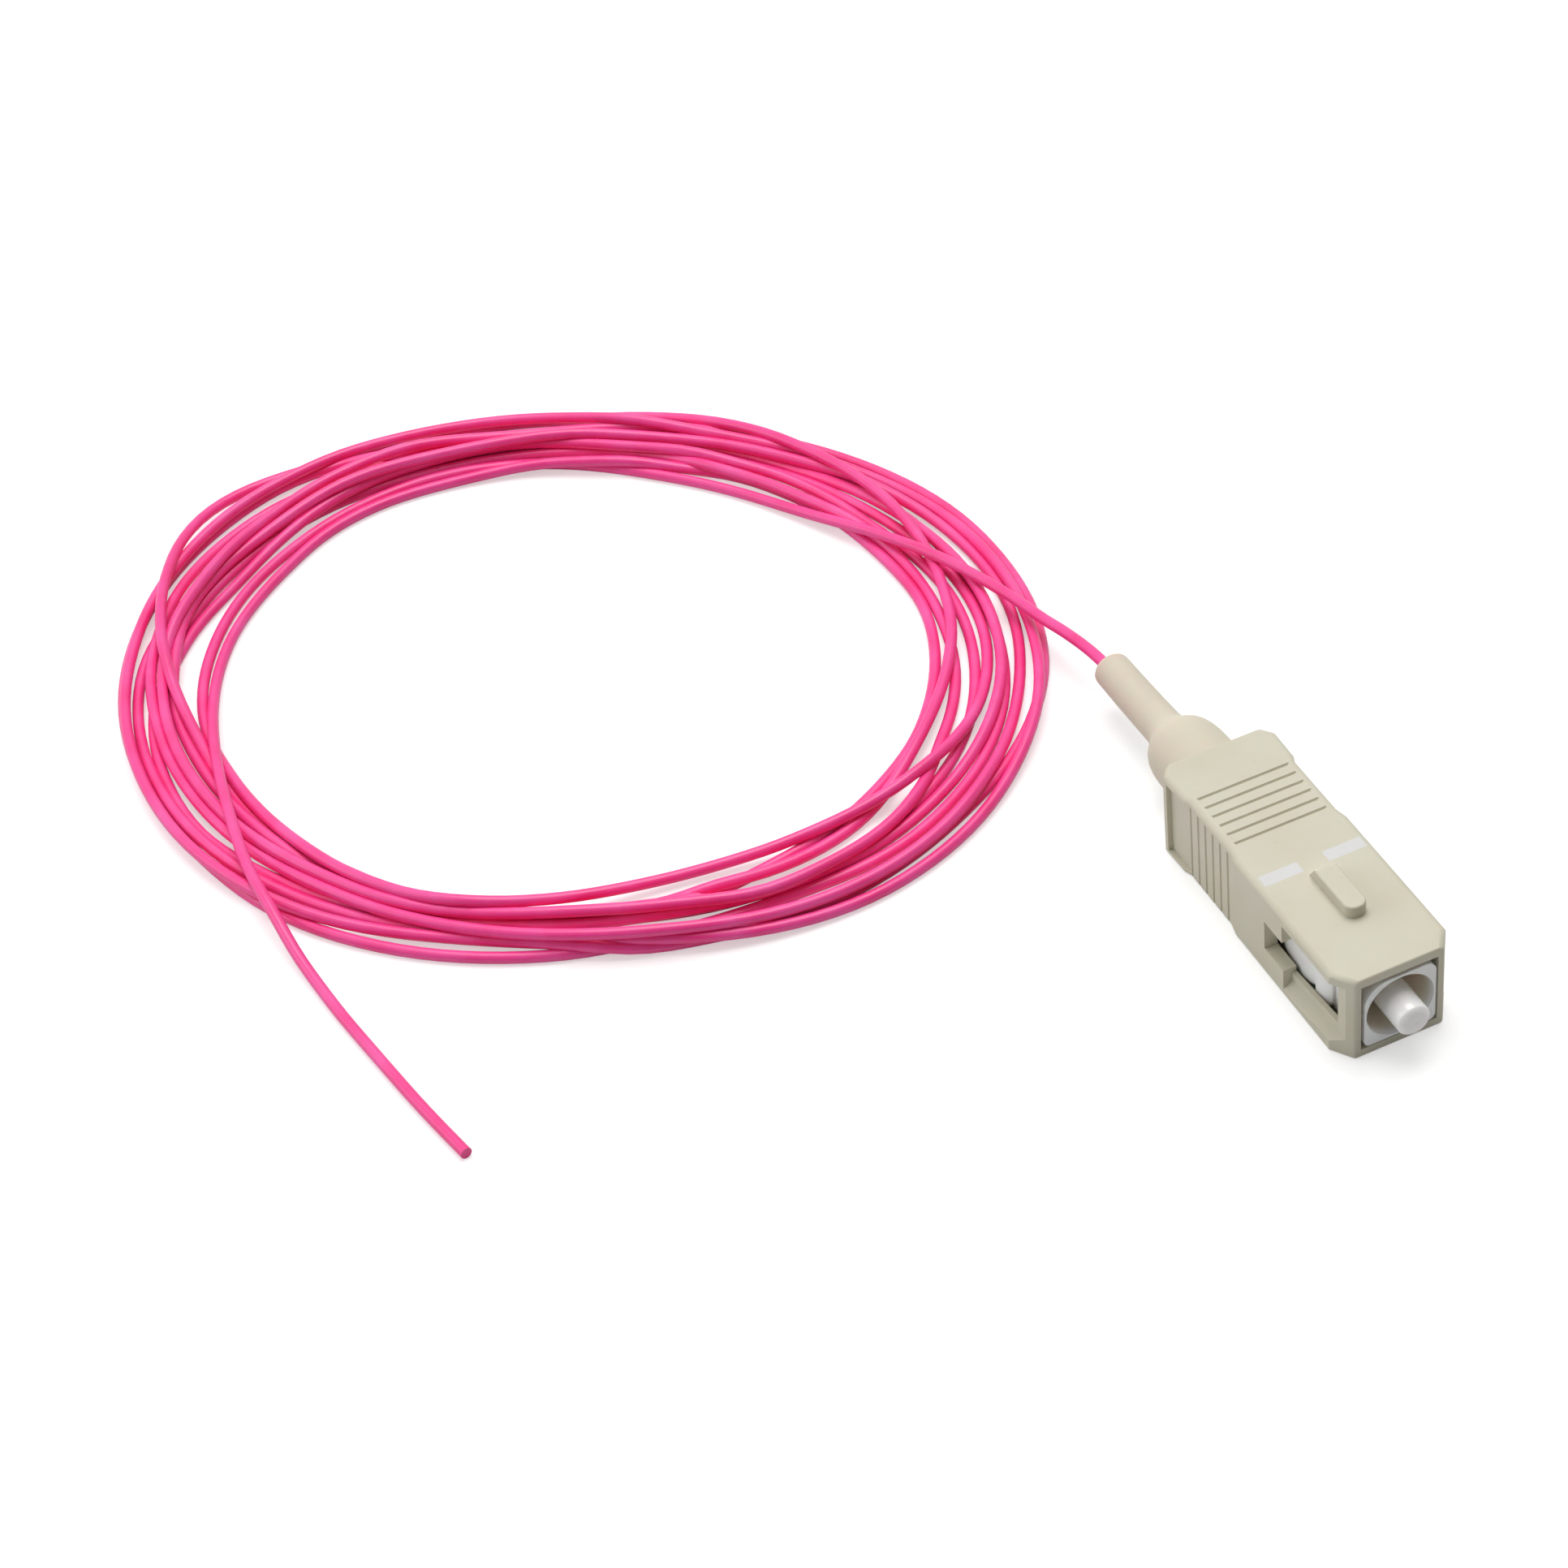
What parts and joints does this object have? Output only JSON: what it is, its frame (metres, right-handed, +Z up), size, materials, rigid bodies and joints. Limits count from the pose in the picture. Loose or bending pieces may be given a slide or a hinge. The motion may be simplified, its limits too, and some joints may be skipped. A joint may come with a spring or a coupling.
{
  "type": "fibre optic pigtail",
  "caption": "Square push-pull fibre connector with a keyed housing, ceramic ferrule and soft boot, on a loose coil of thin buffered fibre with a bare cut end.",
  "frame": {"origin": "on the floor plane, under the middle of the connector's box, without the fibre", "axes": "+X along the connector from the boot to the ferrule, +Y to the side away from the coil, +Z up through the key"},
  "size_m": [0.1018, 0.0736, 0.0084],
  "materials": {
    "housing_plastic": "moulded beige plastic, fine satin",
    "frame_plastic": "white moulded plastic, semi-gloss",
    "ceramic": "polished white ceramic",
    "boot_rubber": "soft cream rubber, matte",
    "rear_plastic": "off-white moulded plastic",
    "fibre_jacket": "bright pink buffer jacket, semi-gloss"
  },
  "bodies": {
    "core": {"inner_frame": "frame_plastic", "rear_body": "rear_plastic", "boot": "boot_rubber", "fibre_coil": "fibre_jacket", "fibre_lead": "fibre_jacket", "fibre_tail": "fibre_jacket"},
    "sleeve": {"outer_housing": "housing_plastic"},
    "ferrule": {"ferrule": "ceramic"}
  },
  "joints": [
    {"name": "sleeve_slide", "type": "slide", "parent": "core", "child": "sleeve", "axis": [-1, 0, 0], "range_m": [0, 0.002]},
    {"name": "ferrule_spring", "type": "slide", "parent": "core", "child": "ferrule", "axis": [-1, 0, 0], "range_m": [0, 0.001], "stiffness_N_per_m": 1500}
  ]
}
